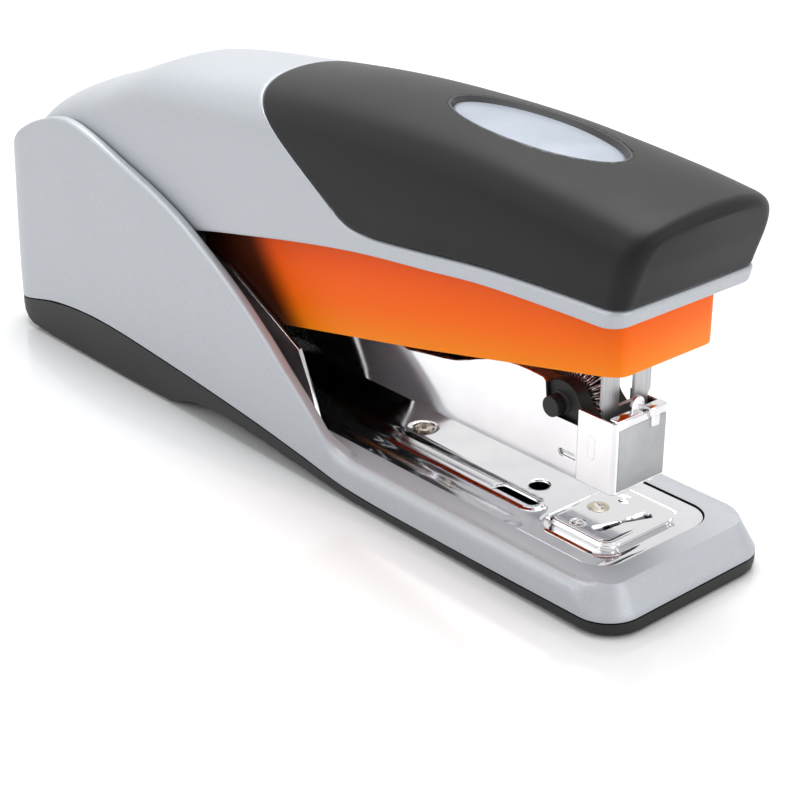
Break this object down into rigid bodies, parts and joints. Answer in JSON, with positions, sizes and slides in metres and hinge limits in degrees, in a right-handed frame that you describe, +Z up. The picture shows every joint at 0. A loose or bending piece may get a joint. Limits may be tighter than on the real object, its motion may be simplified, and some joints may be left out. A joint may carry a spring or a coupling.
{
  "type": "desk stapler",
  "caption": "Desk stapler with a winged silver base, orange clear skirt, black soft grip, chrome magazine with sprung follower and a handle that presses and opens.",
  "frame": {"origin": "on the table under the middle of the base", "axes": "+X towards the nose, +Y to the stapler's left side, +Z up"},
  "size_m": [0.22, 0.0486, 0.0878],
  "materials": {
    "silver_paint": "satin silver paint over moulded plastic",
    "black_plastic": "moulded black plastic",
    "soft_grip": "soft-touch black grip",
    "orange_clear": "orange tinted clear plastic",
    "badge_silver": "pale silver foil plate, bare",
    "chrome_plate": "bright plated steel",
    "spring_steel": "bare steel",
    "pad_rubber": "black rubber"
  },
  "bodies": {
    "base": {"base_shell": "silver_paint", "base_sole": "black_plastic", "rubber_pad_front_left": "pad_rubber", "rubber_pad_front_right": "pad_rubber", "rubber_pad_rear_left": "pad_rubber", "rubber_pad_rear_right": "pad_rubber", "base_plate": "chrome_plate", "anvil": "chrome_plate", "plate_screw_front": "spring_steel", "plate_screw_rear": "spring_steel", "anvil_screw": "spring_steel", "pivot_pin": "spring_steel", "pivot_clip": "spring_steel", "pivot_spacer_left": "spring_steel", "pivot_spacer_right": "spring_steel", "magazine_leaf_spring": "spring_steel", "leaf_spring_rivet": "spring_steel"},
    "magazine": {"magazine_channel": "chrome_plate", "staple_track": "spring_steel", "nose_cover": "chrome_plate", "nose_tongue": "chrome_plate", "spring_guide": "black_plastic", "spring_anchor_pin": "spring_steel", "return_spring_rest": "spring_steel", "follower_spring": "spring_steel", "handle_return_spring": "spring_steel"},
    "follower": {"follower": "spring_steel"},
    "handle": {"handle_cover": "silver_paint", "handle_grip": "soft_grip", "badge_plate": "badge_silver", "handle_skirt": "orange_clear", "cover_screw_front": "spring_steel", "cover_screw_rear": "spring_steel", "drive_arm": "spring_steel", "driver": "spring_steel", "driver_rivet_left": "spring_steel", "driver_rivet_right": "spring_steel"}
  },
  "joints": [
    {"name": "magazine_pivot", "type": "hinge", "parent": "base", "child": "magazine", "pos_m": [-0.085, 0, 0.04], "axis": [0, 1, 0], "range_deg": [0, 2.7], "stiffness_Nm_per_rad": 6, "springref_deg": -11.46, "deforming": ["magazine_leaf_spring"]},
    {"name": "handle_press", "type": "hinge", "parent": "magazine", "child": "handle", "pos_m": [-0.085, 0, 0.04], "axis": [0, 1, 0], "range_deg": [-40, 3.9], "stiffness_Nm_per_rad": 6, "springref_deg": -1.15, "deforming": ["handle_return_spring"]},
    {"name": "follower_slide", "type": "slide", "parent": "magazine", "child": "follower", "axis": [-1, 0, 0], "range_m": [0, 0.075], "stiffness_N_per_m": 40, "springref_m": -0.1, "deforming": ["follower_spring"]}
  ]
}
